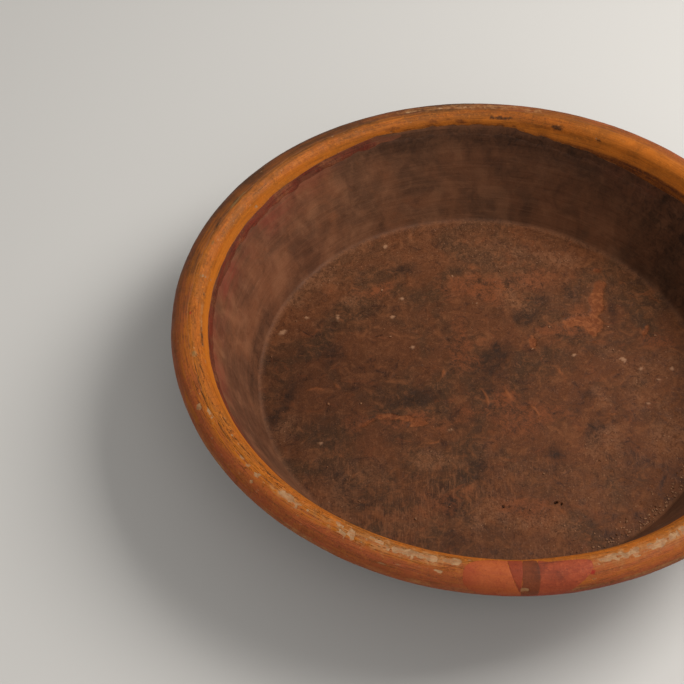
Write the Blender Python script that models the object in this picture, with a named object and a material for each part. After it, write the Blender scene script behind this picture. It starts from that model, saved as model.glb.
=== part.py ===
"""A shallow turned wooden bowl with a painted roll rim.

The wood is one turned block. Everything else is a film of ground, paint or lacquer lying on it, each
made as its own thin closed solid. All of them are drawn from one line, the finished surface: it starts
at the centre of the inside floor and runs out over the wall, the rim and the outside down to the foot.
A film is a stretch of that line between two depths below it, turned about the Z axis.

Units are metres, +Z is up, and the origin is the centre of the foot's underside. The painted reserve
on the rim faces -Y, and a small brown patch faces +Y.
"""

import math

import bmesh
import bpy
from mathutils import Matrix, Vector

# Overall size
OUTER_RADIUS = 0.170
HEIGHT = 0.075
SEGMENTS = 60
SHARP_ANGLE = math.radians(35)
SAME_POINT = 1e-6

# Inside
FLOOR_RADIUS = 0.126
FLOOR_HEIGHT = 0.013
CORNER_RADIUS = 0.003
CORNER_STEPS = 2
WALL_TOP_RADIUS = 0.1505
WALL_TOP_DROP = 0.0102
LIP_BAND_WIDTH = 0.006

# Rim roll: an ellipse in section, measured by an angle that is 0 at its outer edge and 90 at its crest
ROLL_HALF_WIDTH = 0.0087
ROLL_HALF_HEIGHT = 0.0073
INNER_ROLL_END = 165.0
OCHRE_TO_LINE = 100.0
LINE_TO_RUSSET = 94.0
OUTER_EDGE = 0.0
RUSSET_END = -40.0
UNDERSIDE_END = -95.0
ROLL_STEP = 26.0

# Outside
WALL_THICKNESS = 0.0085
FOOT_RADIUS = 0.115
FOOT_WIDTH = 0.014
FOOT_HEIGHT = 0.0045
FOOT_TAPER = 0.0015
RECESS_DEPTH = 0.0035
HEEL_RADIUS = 0.014
HEEL_STEPS = 3
UNDERCUT = 0.004

# Films
FILM = 0.0004
GAP = 0.0003
RIM_WOOD_DEPTH = 2 * (FILM + GAP)
COATED_WOOD_DEPTH = FILM + GAP

# Painted patches on the rim. An outline is a half length round the rim and the shoulder where its end
# starts to round off, in degrees from its centre, and its inner, tip and outer angles on the roll.
RESERVE_OUTLINE = {"half_length": 10.6, "shoulder": 5.6, "inner": 138.0, "tip": 62.0, "outer": -15.0}
REAR_OUTLINE = {"half_length": 3.4, "shoulder": 1.2, "inner": 78.0, "tip": 50.0, "outer": 22.0}
RESERVE_FACING = -88.2
REAR_FACING = 93.0
RESERVE_PARTS = {
    "reserve_left_lobe": (-10.6, -2.95, "red_paint"),
    "reserve_dark_stroke": (-2.8, -1.2, "maroon_paint"),
    "reserve_centre_bar": (-1.05, 1.5, "brown_paint"),
    "reserve_right_lobe": (1.65, 10.6, "red_paint"),
}
TIP_WIDTH = 0.2
TIP_COLUMNS = 5
PATCH_COLUMN_STEP = 1.7
PATCH_ROW_STEP = 17.0

# Colour, roughness and metallic value of each finish
FINISHES = {
    "turned_wood": ((0.175, 0.095, 0.055, 1), 0.62, 0.0),
    "clay_ground": ((0.52, 0.42, 0.32, 1), 0.75, 0.0),
    "ochre_paint": ((0.48, 0.20, 0.035, 1), 0.42, 0.0),
    "dark_line_paint": ((0.06, 0.035, 0.022, 1), 0.45, 0.0),
    "russet_paint": ((0.30, 0.10, 0.035, 1), 0.45, 0.0),
    "maroon_paint": ((0.14, 0.035, 0.025, 1), 0.45, 0.0),
    "inside_lacquer": ((0.11, 0.052, 0.03, 1), 0.5, 0.0),
    "red_paint": ((0.36, 0.085, 0.035, 1), 0.45, 0.0),
    "brown_paint": ((0.16, 0.065, 0.035, 1), 0.45, 0.0),
}


def roll_point(angle, height=0.0):
    """The point (radius, height) of the rim roll at an angle round its section, in degrees, raised off it."""
    a = math.radians(angle)
    centre = Vector((OUTER_RADIUS - ROLL_HALF_WIDTH, HEIGHT - ROLL_HALF_HEIGHT))
    point = centre + Vector((ROLL_HALF_WIDTH * math.cos(a), ROLL_HALF_HEIGHT * math.sin(a)))
    outward = Vector((math.cos(a) / ROLL_HALF_WIDTH, math.sin(a) / ROLL_HALF_HEIGHT)).normalized()
    return point + outward * height


def roll_stretch(start, end):
    """Points along the roll from one angle to the other, both ends included."""
    steps = max(1, round(abs(end - start) / ROLL_STEP))
    return [roll_point(start + (end - start) * i / steps) for i in range(steps + 1)]


def fillet(before, corner, after, radius, steps):
    """An arc that rounds the corner between two straight lines."""
    to_before = (before - corner).normalized()
    to_after = (after - corner).normalized()
    half_angle = to_before.angle(to_after) / 2
    bisector = (to_before + to_after).normalized()
    centre = corner + bisector * radius / math.sin(half_angle)
    start = corner + to_before * radius / math.tan(half_angle) - centre
    end = corner + to_after * radius / math.tan(half_angle) - centre
    turn = start.angle_signed(end)
    return [centre + Matrix.Rotation(-turn * i / steps, 2) @ start for i in range(steps + 1)]


def surface_stretches():
    """The finished surface as named stretches of points (radius, height), each starting where the last ends."""
    centre = Vector((0, FLOOR_HEIGHT))
    corner = Vector((FLOOR_RADIUS, FLOOR_HEIGHT))
    wall_top = Vector((WALL_TOP_RADIUS, HEIGHT - WALL_TOP_DROP))
    up_wall = (wall_top - corner).normalized()
    band_low = wall_top - up_wall * LIP_BAND_WIDTH
    outward = Vector((up_wall.y, -up_wall.x)) * WALL_THICKNESS
    outer_top = wall_top + outward
    outer_low = corner + outward
    foot_top = Vector((FOOT_RADIUS + FOOT_TAPER, FOOT_HEIGHT))
    heel = Vector((FOOT_RADIUS + WALL_THICKNESS, FOOT_HEIGHT))
    return {
        "inside": [centre] + fillet(centre, corner, wall_top, CORNER_RADIUS, CORNER_STEPS) + [band_low],
        "lip_band": [band_low, wall_top],
        "ochre": [wall_top] + roll_stretch(INNER_ROLL_END, OCHRE_TO_LINE),
        "dark_line": roll_stretch(OCHRE_TO_LINE, LINE_TO_RUSSET),
        "russet": roll_stretch(LINE_TO_RUSSET, OUTER_EDGE) + roll_stretch(OUTER_EDGE, RUSSET_END)[1:],
        "outside": roll_stretch(RUSSET_END, UNDERSIDE_END)
        + [outer_top - up_wall * UNDERCUT]
        + fillet(outer_top, outer_low, heel, HEEL_RADIUS, HEEL_STEPS)
        + [foot_top],
    }


class Surface:
    """The finished surface as one line of points, with the direction that leads out of the wood at each."""

    def __init__(self, stretches):
        self.points = []
        self.spans = {}
        for name, points in stretches.items():
            start = max(0, len(self.points) - 1)
            self.points += points if not self.points else points[1:]
            self.spans[name] = (start, len(self.points) - 1)
        self.normals = [self.mitre(i) for i in range(len(self.points))]

    def mitre(self, i):
        """The outward direction at a point, long enough to keep both neighbouring lines parallel."""
        last = len(self.points) - 1
        sides = []
        for a, b in ((i - 1, i), (i, i + 1)):
            if a >= 0 and b <= last:
                along = (self.points[b] - self.points[a]).normalized()
                sides.append(Vector((-along.y, along.x)))
        middle = sum(sides, Vector((0, 0))).normalized()
        return middle / middle.dot(sides[0])

    def offset(self, i, depth):
        """Point i of the line, taken a depth into the wood."""
        return self.points[i] - self.normals[i] * depth

    def stretch(self, first, last, depth, trim=0.0):
        """The points from the start of one stretch to the end of another at a depth, with both ends cut short."""
        start, end = self.spans[first][0], self.spans[last][1]
        points = [self.offset(i, depth) for i in range(start, end + 1)]
        if trim and start > 0:
            points[0] = points[0] + (points[1] - points[0]).normalized() * trim
        if trim:
            points[-1] = points[-1] + (points[-2] - points[-1]).normalized() * trim
        return points


def material(name):
    """The Principled material of a finish, made once."""
    colour, roughness, metallic = FINISHES[name]
    made = bpy.data.materials.get(name)
    if made is None:
        made = bpy.data.materials.new(name)
        made.use_nodes = True
        shader = made.node_tree.nodes["Principled BSDF"]
        shader.inputs["Base Color"].default_value = colour
        shader.inputs["Roughness"].default_value = roughness
        shader.inputs["Metallic"].default_value = metallic
        made.diffuse_color = colour
    return made


def add_object(name, shape, finish, parent):
    """Turns a bmesh into a named, smooth-shaded object of one finish."""
    bmesh.ops.recalc_face_normals(shape, faces=shape.faces)
    mesh = bpy.data.meshes.new(name)
    shape.to_mesh(mesh)
    shape.free()
    mesh.shade_smooth()
    mesh.set_sharp_from_angle(angle=SHARP_ANGLE)
    mesh.materials.append(material(finish))
    made = bpy.data.objects.new(name, mesh)
    made.parent = parent
    bpy.context.scene.collection.objects.link(made)
    return made


def turned(outline, closed):
    """A bmesh made by turning an outline of points (radius, height) about the Z axis."""
    shape = bmesh.new()
    verts = [shape.verts.new((p.x, 0, p.y)) for p in outline]
    edges = [shape.edges.new(pair) for pair in zip(verts, verts[1:])]
    if closed:
        edges.append(shape.edges.new((verts[-1], verts[0])))
    bmesh.ops.spin(
        shape,
        geom=verts + edges,
        cent=(0, 0, 0),
        axis=(0, 0, 1),
        angle=math.tau,
        steps=SEGMENTS,
        use_merge=True,
    )
    bmesh.ops.remove_doubles(shape, verts=shape.verts, dist=SAME_POINT)
    return shape


def film(surface, name, first, last, finish, parent, top=0.0):
    """A skin over part of the surface, FILM thick, with its upper face at a depth."""
    upper = surface.stretch(first, last, top, GAP / 2)
    lower = surface.stretch(first, last, top + FILM, GAP / 2)
    outline = upper + lower[::-1]
    reaches_axis = upper[0].x < SAME_POINT
    return add_object(name, turned(outline, closed=not reaches_axis), finish, parent)


def wood_body(surface, parent):
    """The turned block: the surface less its films, then the foot ring and the recess under the floor."""
    outline = surface.stretch("inside", "lip_band", COATED_WOOD_DEPTH)
    outline += surface.stretch("ochre", "russet", RIM_WOOD_DEPTH)
    outline += surface.stretch("outside", "outside", COATED_WOOD_DEPTH)
    foot_inner = FOOT_RADIUS - FOOT_WIDTH
    outline += [
        Vector((FOOT_RADIUS, 0)),
        Vector((foot_inner, 0)),
        Vector((foot_inner - FOOT_TAPER, RECESS_DEPTH)),
        Vector((0, RECESS_DEPTH)),
    ]
    return add_object("turned_wood_body", turned(outline, closed=False), "turned_wood", parent)


def patch_columns(outline, start, end):
    """The angles round the rim at which a patch has a column of points: closer together as its ends narrow."""
    shoulder = outline["shoulder"]
    steps = math.ceil(shoulder / PATCH_COLUMN_STEP)
    angles = [shoulder * i / steps for i in range(-steps, steps + 1)]
    for k in range(1, TIP_COLUMNS + 1):
        width = 1 - (1 - TIP_WIDTH) * k / TIP_COLUMNS
        angle = shoulder + (outline["half_length"] - shoulder) * math.sqrt(1 - width**2)
        angles += [-angle, angle]
    return sorted([start, end] + [a for a in angles if start < a < end])


def patch_reach(outline, angle):
    """The roll angles between which a patch lies, at an angle round the rim from its centre."""
    beyond = (abs(angle) - outline["shoulder"]) / (outline["half_length"] - outline["shoulder"])
    width = max(TIP_WIDTH, math.sqrt(max(0.0, 1 - max(0.0, beyond) ** 2)))
    tip = outline["tip"]
    return tip + (outline["inner"] - tip) * width, tip + (outline["outer"] - tip) * width


def rim_patch(name, outline, start, end, facing, finish, parent):
    """A curved plate of paint on the rim: the stretch of an outline between two angles from its centre."""
    rows = math.ceil((outline["inner"] - outline["outer"]) / PATCH_ROW_STEP)
    shape = bmesh.new()
    for height in (GAP + FILM, GAP):
        columns = []
        for angle in patch_columns(outline, start, end):
            inner, outer = patch_reach(outline, angle)
            turn = Matrix.Rotation(math.radians(facing + angle), 3, "Z")
            column = []
            for k in range(rows + 1):
                p = roll_point(inner + (outer - inner) * k / rows, height)
                column.append(shape.verts.new(turn @ Vector((p.x, 0, p.y))))
            columns.append(column)
        for a, b in zip(columns, columns[1:]):
            for k in range(rows):
                shape.faces.new((a[k], b[k], b[k + 1], a[k + 1]))
    bmesh.ops.bridge_loops(shape, edges=[e for e in shape.edges if e.is_boundary])
    bmesh.ops.triangulate(shape, faces=shape.faces)
    return add_object(name, shape, finish, parent)


def main():
    for old in list(bpy.data.objects):
        bpy.data.objects.remove(old)
    bowl = bpy.data.objects.new("bowl", None)
    bpy.context.scene.collection.objects.link(bowl)
    surface = Surface(surface_stretches())

    wood_body(surface, bowl)
    film(surface, "inside_lacquer", "inside", "inside", "inside_lacquer", bowl)
    film(surface, "lip_maroon_band", "lip_band", "lip_band", "maroon_paint", bowl)
    film(surface, "rim_clay_ground", "ochre", "russet", "clay_ground", bowl, top=FILM + GAP)
    film(surface, "rim_ochre_paint", "ochre", "ochre", "ochre_paint", bowl)
    film(surface, "rim_dark_line", "dark_line", "dark_line", "dark_line_paint", bowl)
    film(surface, "rim_russet_paint", "russet", "russet", "russet_paint", bowl)
    film(surface, "outside_maroon_paint", "outside", "outside", "maroon_paint", bowl)

    for name, (start, end, finish) in RESERVE_PARTS.items():
        rim_patch(name, RESERVE_OUTLINE, start, end, RESERVE_FACING, finish, bowl)
    length = REAR_OUTLINE["half_length"]
    rim_patch("rear_brown_patch", REAR_OUTLINE, -length, length, REAR_FACING, "brown_paint", bowl)


main()
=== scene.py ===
"""The looks of a worn turned wooden bowl with a painted rim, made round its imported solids.

Every visible surface lies a little under or over one line, the bowl's finished surface, turned about the
Z axis. A point of it is named by theta, its angle round the bowl, and s, its length along that line from
the centre of the inside floor. Wood, ground, paint and lacquer are meshes of such points. A coat is cut
away where it has chipped or worn off, so its edges and the wood under them are real shapes.
Lengths are in metres.
"""

import functools
import math

import bmesh
import bpy
import numpy as np
from mathutils import Matrix, Vector


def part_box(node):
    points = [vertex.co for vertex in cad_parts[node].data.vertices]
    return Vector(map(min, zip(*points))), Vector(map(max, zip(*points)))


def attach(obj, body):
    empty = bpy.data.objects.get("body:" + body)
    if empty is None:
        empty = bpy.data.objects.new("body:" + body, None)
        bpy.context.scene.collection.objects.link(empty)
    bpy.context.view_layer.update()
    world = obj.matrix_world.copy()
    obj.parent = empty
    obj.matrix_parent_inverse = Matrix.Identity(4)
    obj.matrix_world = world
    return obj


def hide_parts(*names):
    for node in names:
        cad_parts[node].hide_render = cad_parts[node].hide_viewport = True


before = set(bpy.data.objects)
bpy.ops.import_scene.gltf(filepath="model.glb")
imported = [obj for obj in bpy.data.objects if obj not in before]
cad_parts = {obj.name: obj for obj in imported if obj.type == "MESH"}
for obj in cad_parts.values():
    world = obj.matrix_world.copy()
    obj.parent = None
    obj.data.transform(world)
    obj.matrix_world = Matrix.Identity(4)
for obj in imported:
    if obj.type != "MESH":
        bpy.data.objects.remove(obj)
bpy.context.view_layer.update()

MM = 0.001
TAU = math.tau


# Sizes ----------------------------------------------------

rim_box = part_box("rim_russet_paint")
lining_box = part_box("inside_lacquer")

CAD_FILM = 0.4 * MM
OUTER_RADIUS = rim_box[1].x
RIM_TOP = rim_box[1].z
FLOOR_Z = lining_box[0].z + CAD_FILM
FLOOR_RADIUS = 126 * MM
WALL_TOP = (150.5 * MM, RIM_TOP - 10.2 * MM)
WALL_THICKNESS = 8.5 * MM
CORNER_RADIUS = 2.2 * MM
ROLL_HALF_WIDTH = 8.7 * MM
ROLL_HALF_HEIGHT = 7.3 * MM
ROLL_INNER_END = 165
ROLL_UNDERSIDE_END = -95
ROLL_POINTS = 131
HEEL_RADIUS = 14 * MM
UNDERCUT = 4 * MM
FOOT_RADIUS = 115 * MM
FOOT_WIDTH = 14 * MM
FOOT_HEIGHT = 4.5 * MM
FOOT_TAPER = 1.5 * MM
RECESS_DEPTH = 3.5 * MM

# How deep under the finished surface the ground's and the wood's tops lie, how deep a coat's underside is
# sunk in what it lies on, and how far paint that was touched up stands over the surface
GROUND_DEPTH = 0.16 * MM
WOOD_DEPTH = 0.34 * MM
SUNK = 0.12 * MM
HOLE_DEPTH = 1.3 * MM
PATCH_STANDS = 0.1 * MM
LINE_STANDS = 0.05 * MM

# How far apart the points of the surface line and of the meshes lie
LINE_STEP = 0.1 * MM
FLOOR_STEP = 0.95 * MM
WALL_STEP = 1.6 * MM
RIM_STEP = 0.85 * MM
PATCH_STEP = 0.6 * MM
HIDDEN_STEP = 2.6 * MM


# Noise ----------------------------------------------------


def hashed(cells, seed):
    """A repeatable random number from 0 to 1 for each row of whole numbers."""
    x, y, z = (cells[:, i].astype(np.int64).astype(np.uint32) for i in range(3))
    h = x * np.uint32(374761393) + y * np.uint32(668265263) + z * np.uint32(2246822519)
    h += np.uint32(seed * 3266489917 % 2**32)
    h = (h ^ (h >> np.uint32(15))) * np.uint32(2246822519)
    h = (h ^ (h >> np.uint32(13))) * np.uint32(3266489917)
    return (h ^ (h >> np.uint32(16))) / float(2**32)


def noise(points, size, seed):
    """Smooth noise from -1 to 1 with features of about a size."""
    scaled = points / size
    low = np.floor(scaled)
    share = scaled - low
    share = share * share * share * (share * (share * 6 - 15) + 10)
    total = np.zeros(len(points))
    for corner in np.ndindex(2, 2, 2):
        weight = np.prod(np.where(corner, share, 1 - share), axis=1)
        total += weight * hashed(low + corner, seed)
    return total * 2 - 1


def fractal(points, size, seed, octaves=4, gain=0.5):
    """Noise with finer and weaker detail laid over it."""
    total = np.zeros(len(points))
    weight = 1.0
    for i in range(octaves):
        total += weight * noise(points, size / 2**i, seed + 17 * i)
        weight *= gain
    return total


def smooth(low, high, x):
    """0 below low, 1 above high, and an S between them."""
    share = np.clip((x - low) / (high - low), 0, 1)
    return share * share * (3 - 2 * share)


# The surface line -----------------------------------------


def unit(v):
    return v / np.linalg.norm(v)


def fillet(before, corner, after, radius):
    """Points of the arc that rounds the corner between two straight lines."""
    to_before, to_after = unit(before - corner), unit(after - corner)
    half_angle = math.acos(np.dot(to_before, to_after)) / 2
    centre = corner + unit(to_before + to_after) * radius / math.sin(half_angle)
    start = corner + to_before * radius / math.tan(half_angle) - centre
    end = corner + to_after * radius / math.tan(half_angle) - centre
    first, last = math.atan2(start[1], start[0]), math.atan2(end[1], end[0])
    turn = (last - first + math.pi) % TAU - math.pi
    angles = first + turn * np.linspace(0, 1, 24)
    return centre + radius * np.stack([np.cos(angles), np.sin(angles)], axis=1)


def roll(angles):
    """Points of the rim roll at angles round its section: 0 at its outer edge, 90 at its crest."""
    a = np.radians(np.asarray(angles, float))
    r = OUTER_RADIUS - ROLL_HALF_WIDTH + ROLL_HALF_WIDTH * np.cos(a)
    z = RIM_TOP - ROLL_HALF_HEIGHT + ROLL_HALF_HEIGHT * np.sin(a)
    return np.stack([r, z], axis=1)


class SurfaceLine:
    """The finished surface in section, from the inside floor's middle over the rim to the foot's middle."""

    def __init__(self):
        centre = np.array([0, FLOOR_Z])
        corner = np.array([FLOOR_RADIUS, FLOOR_Z])
        wall_top = np.array(WALL_TOP)
        up_wall = unit(wall_top - corner)
        outward = np.array([up_wall[1], -up_wall[0]]) * WALL_THICKNESS
        outer_top = wall_top + outward - up_wall * UNDERCUT
        heel = np.array([FOOT_RADIUS + WALL_THICKNESS, FOOT_HEIGHT])
        foot_in = FOOT_RADIUS - FOOT_WIDTH
        rounding = 0.8 * MM
        foot = [
            np.array([FOOT_RADIUS + FOOT_TAPER, FOOT_HEIGHT]),
            np.array([FOOT_RADIUS, 0]),
            np.array([foot_in, 0]),
            np.array([foot_in - FOOT_TAPER, RECESS_DEPTH]),
            np.array([0, RECESS_DEPTH]),
        ]
        roll_angles = np.linspace(ROLL_INNER_END, ROLL_UNDERSIDE_END, ROLL_POINTS)
        marks = {
            "middle": [centre],
            "corner": fillet(centre, corner, wall_top, CORNER_RADIUS),
            "wall_top": [wall_top],
            "roll": roll(roll_angles),
            "outside": [outer_top],
            "heel": fillet(outer_top, corner + outward, heel, HEEL_RADIUS),
            "foot_top": [foot[0]],
            "foot_out": fillet(foot[0], foot[1], foot[2], rounding),
            "foot_in": fillet(foot[1], foot[2], foot[3], rounding),
            "recess": [foot[3]],
            "end": [foot[4]],
        }
        rough = np.concatenate([np.atleast_2d(p) for p in marks.values()])
        lengths = np.concatenate([[0], np.cumsum(np.linalg.norm(np.diff(rough, axis=0), axis=1))])
        self.mark = {}
        count = 0
        for name, points in marks.items():
            self.mark[name] = lengths[count]
            if name == "roll":
                self.roll_lengths = lengths[count : count + ROLL_POINTS]
            count += len(np.atleast_2d(points))
        self.length = lengths[-1]
        self.s = np.arange(0, self.length, LINE_STEP)
        self.r = np.interp(self.s, lengths, rough[:, 0])
        self.z = np.interp(self.s, lengths, rough[:, 1])
        slope_r, slope_z = np.gradient(self.r), np.gradient(self.z)
        blur = np.hanning(11) / np.hanning(11).sum()
        slope_r = np.convolve(np.pad(slope_r, 5, "edge"), blur, "valid")
        slope_z = np.convolve(np.pad(slope_z, 5, "edge"), blur, "valid")
        size = np.hypot(slope_r, slope_z)
        self.normal_r, self.normal_z = -slope_z / size, slope_r / size
        self.roll_angles = roll_angles

    def at_roll(self, angle):
        """The length s of the roll's point at an angle."""
        return np.interp(-np.asarray(angle, float), -self.roll_angles, self.roll_lengths)

    def roll_angle(self, s):
        """The roll's angle at a length s, held at its ends."""
        return np.interp(s, self.roll_lengths, self.roll_angles)

    def place(self, theta, s, height):
        """Points at a height over the surface."""
        r = np.interp(s, self.s, self.r) + height * np.interp(s, self.s, self.normal_r)
        z = np.interp(s, self.s, self.z) + height * np.interp(s, self.s, self.normal_z)
        return np.stack([r * np.cos(theta), r * np.sin(theta), z], axis=1)

    def radius(self, s):
        return np.interp(s, self.s, self.r)


line = SurfaceLine()
CORNER = line.mark["corner"]
LIP = line.mark["wall_top"]
OCHRE_END = line.at_roll(100)
RUSSET_END = line.at_roll(-40)
FOOT_TOP = line.mark["foot_top"]


# Meshes of (theta, s) points ------------------------------


def ring_lengths(start, end, step):
    return np.linspace(start, end, max(1, round(abs(end - start) / step)) + 1)


def stitch(first, second):
    """Triangles between two rings of points, given as (first index, count), that may differ in count."""
    (a, n), (b, m) = first, second
    ends = np.concatenate([(np.arange(n) + 1) / n, (np.arange(m) + 1) / m])
    from_first = np.arange(n + m) < n
    order = np.argsort(ends, kind="stable")
    from_first = from_first[order]
    i = np.cumsum(from_first) - from_first
    j = np.cumsum(~from_first) - ~from_first
    on_a = np.stack([a + (i + 1) % n, a + i % n, b + j % m], axis=1)
    on_b = np.stack([b + j % m, b + (j + 1) % m, a + i % n], axis=1)
    triangles = np.where(from_first[:, None], on_a, on_b)
    keep = from_first if m == 1 else ~from_first if n == 1 else np.ones(n + m, bool)
    return triangles[keep]


def turned_grid(stretches):
    """Rings of points along stretches (start, end, step), spaced alike round and along the surface."""
    lengths, steps = [], []
    for start, end, step in stretches:
        found = ring_lengths(start, end, step)
        found = found[1:] if lengths else found
        lengths += list(found)
        steps += [step] * len(found)
    theta, s, rings = [], [], []
    for length, step in zip(lengths, steps):
        r = line.radius(length)
        count = 1 if r < step / 2 else max(8, round(TAU * r / step))
        rings.append((sum(len(t) for t in theta), count))
        theta.append(TAU * np.arange(count) / count - math.pi)
        s.append(np.full(count, length))
    triangles = np.concatenate([stitch(a, b) for a, b in zip(rings, rings[1:])])
    return np.concatenate(theta), np.concatenate(s), triangles


def patch_grid(theta_range, s_range, step):
    """A block of points between two angles, in radians, and two lengths."""
    width = (theta_range[1] - theta_range[0]) * OUTER_RADIUS
    columns = max(2, round(width / step))
    rows = max(2, round((s_range[1] - s_range[0]) / step))
    theta, s = np.meshgrid(np.linspace(*theta_range, columns + 1), np.linspace(*s_range, rows + 1))
    corner = (np.arange(rows)[:, None] * (columns + 1) + np.arange(columns)).ravel()
    across, up = corner + 1, corner + columns + 1
    triangles = np.concatenate([np.stack([corner, up, across], 1), np.stack([across, up, up + 1], 1)])
    return theta.ravel(), s.ravel(), triangles


def clip(grid, cover):
    """The part of a grid where cover is above 0, cut cleanly along its edge, and cover at its points."""
    theta, s, triangles = grid
    cover = np.where(np.abs(cover) < 1e-5, 1e-5, cover)
    inside = cover > 0
    count = inside[triangles].sum(axis=1)
    kept = triangles[count == 3]
    cut = triangles[(count == 1) | (count == 2)]
    lone_inside = inside[cut].sum(axis=1) == 1
    lone = np.argmax(inside[cut] == lone_inside[:, None], axis=1)
    rows = np.arange(len(cut))
    a, b, c = cut[rows, lone], cut[rows, (lone + 1) % 3], cut[rows, (lone + 2) % 3]
    pairs = np.sort(np.concatenate([np.stack([a, b], 1), np.stack([a, c], 1)]), axis=1)
    pairs, index = np.unique(pairs, axis=0, return_inverse=True)
    index = index.ravel() + len(theta)
    ab, ac = index[: len(cut)], index[len(cut) :]
    p, q = pairs.T
    share = cover[p] / (cover[p] - cover[q])
    turn = (theta[q] - theta[p] + math.pi) % TAU - math.pi
    theta = np.concatenate([theta, theta[p] + share * turn])
    s = np.concatenate([s, s[p] + share * (s[q] - s[p])])
    cover = np.concatenate([cover, np.zeros(len(pairs))])
    tips = np.stack([a, ab, ac], 1)[lone_inside]
    rest = ~lone_inside
    blocks = np.concatenate([np.stack([ab, b, c], 1)[rest], np.stack([ab, c, ac], 1)[rest]])
    triangles = np.concatenate([kept, tips, blocks])
    used, triangles = np.unique(triangles, return_inverse=True)
    return (theta[used], s[used], triangles.reshape(-1, 3)), cover[used]


def border(triangles):
    """The directed edges that only one triangle has."""
    edges = np.concatenate([triangles[:, [0, 1]], triangles[:, [1, 2]], triangles[:, [2, 0]]])
    size = triangles.max() + 1
    codes = edges[:, 0] * size + edges[:, 1]
    back = edges[:, 1] * size + edges[:, 0]
    return edges[~np.isin(codes, back)]


def out_of_round(points):
    """Moves points as old wood does: a little oval, and the rim not quite level. The foot stays flat."""
    theta = np.arctan2(points[:, 1], points[:, 0])
    lift = np.clip(points[:, 2] / RIM_TOP, 0, 1) ** 2
    oval = 0.35 * MM * np.cos(2 * theta - 0.9) + 0.12 * MM * np.cos(5 * theta + 0.4) - 0.4 * MM
    moved = points.copy()
    moved[:, :2] *= (1 + lift * oval / OUTER_RADIUS)[:, None]
    moved[:, 2] += lift * (0.3 * MM * np.sin(2 * theta + 0.7) + 0.15 * MM * np.sin(3 * theta) - 0.45 * MM)
    return moved


SHARP_ANGLE = math.radians(50)


def new_mesh(name, points, triangles):
    mesh = bpy.data.meshes.new(name)
    mesh.vertices.add(len(points))
    mesh.vertices.foreach_set("co", points.astype(np.float32).ravel())
    mesh.loops.add(triangles.size)
    mesh.loops.foreach_set("vertex_index", triangles.astype(np.int32).ravel())
    mesh.polygons.add(len(triangles))
    mesh.polygons.foreach_set("loop_start", np.arange(0, triangles.size, 3, dtype=np.int32))
    mesh.update(calc_edges=True)
    mesh.validate()
    mesh.shade_smooth()
    mesh.set_sharp_from_angle(angle=SHARP_ANGLE)
    return mesh


def add_attributes(mesh, theta, s, fields):
    """Gives a mesh the coordinates and masks that its material reads."""
    turned = np.stack([np.cos(theta) * OUTER_RADIUS, np.sin(theta) * OUTER_RADIUS, s], axis=1)
    made = mesh.attributes.new("turned", "FLOAT_VECTOR", "POINT")
    made.data.foreach_set("vector", turned.astype(np.float32).ravel())
    for name, values in fields.items():
        mesh.attributes.new(name, "FLOAT", "POINT").data.foreach_set("value", values.astype(np.float32))


def add_piece(name, mesh, material, slot, nodes):
    """Puts a mesh in the scene as the piece that stands for CAD nodes."""
    piece = bpy.data.objects.new(name, mesh)
    bpy.context.scene.collection.objects.link(piece)
    mesh.materials.append(material)
    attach(piece, "root")
    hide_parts(*nodes)
    return piece


def coat(name, grid, cover, depth, thickness, feather, fields, material, slot, nodes):
    """A closed film that lies where cover is above 0. Its top is depth under the finished surface, it
    thins over the feather near its edges, and its underside is sunk in what it lies on."""
    (theta, s, triangles), cover = clip(grid, cover)
    body = relief(theta, s) - depth
    edge = smooth(0, feather, cover)
    top = line.place(theta, s, body - thickness * (1 - (0.3 + 0.7 * edge)))
    under = line.place(theta, s, body - thickness - SUNK)
    edges = border(triangles)
    count = len(theta)
    a, b = edges.T
    sides = np.concatenate([np.stack([b, a, a + count], 1), np.stack([b, a + count, b + count], 1)])
    points = out_of_round(np.concatenate([top, under]))
    faces = np.concatenate([triangles, triangles[:, ::-1] + count, sides])
    mesh = new_mesh(name, points, faces)
    masks = fields(theta, s)
    masks["edge"] = edge
    twice = {k: np.tile(v, 2) for k, v in masks.items()}
    add_attributes(mesh, np.tile(theta, 2), np.tile(s, 2), twice)
    return add_piece(name, mesh, material, slot, nodes)


# Marks of age, with some painted shadow and sheen -----------------

# On the floor: x, y, half length, half width (mm) and the length's direction (degrees)
FLOOR_SCARS = [
    (71, 58, 22, 3.6, 79), (55, 43, 9, 5.5, 22), (63, 39, 6, 4, 80), (30, 27, 5, 2.0, 92),
    (96, 35, 3.6, 1.4, 65), (-52, -27, 11, 2.2, -8), (-66, -31, 5, 1.6, 35), (-38, -32, 5, 1.6, 15),
]
# Stains; the patches at (40, 59) and (30, 49), beside the big scar, are painted shadow.
FLOOR_STAINS_AND_SHADOWS = [
    (56, 63, 7, 8, 80), (29, 43, 9, 8, 10), (79, 50, 15, 3.4, 84), (-43, -15, 15, 6, 0),
    (-113, -22, 24, 6, 62), (-85, 19, 14, 7, 90), (-14, -107, 10, 7, 10), (-23, -93, 12, 5, 90),
    (40, 59, 10, 6, 50), (30, 49, 8, 7, 0), (-6, -62, 13, 7, 10), (-80, -72, 16, 8, 130),
    (56, -13, 13, 7, 80), (57, -36, 11, 6, 70), (6, 8, 18, 8, 80), (-45, 84, 12, 6, 20),
    (34, -52, 10, 5, 130),
]
FLOOR_WARM = [
    (-50, -30, 24, 6, 0), (38, 75, 12, 7, 0), (22, -90, 20, 10, 0), (-27, -84, 14, 8, 0),
    (-58, 69, 10, 6, 10), (-10, 25, 14, 8, 80), (58, 42, 16, 9, 30), (98, 30, 8, 6, 0),
    (18, -25, 22, 14, 0), (4, 70, 20, 10, 0),
]
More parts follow.
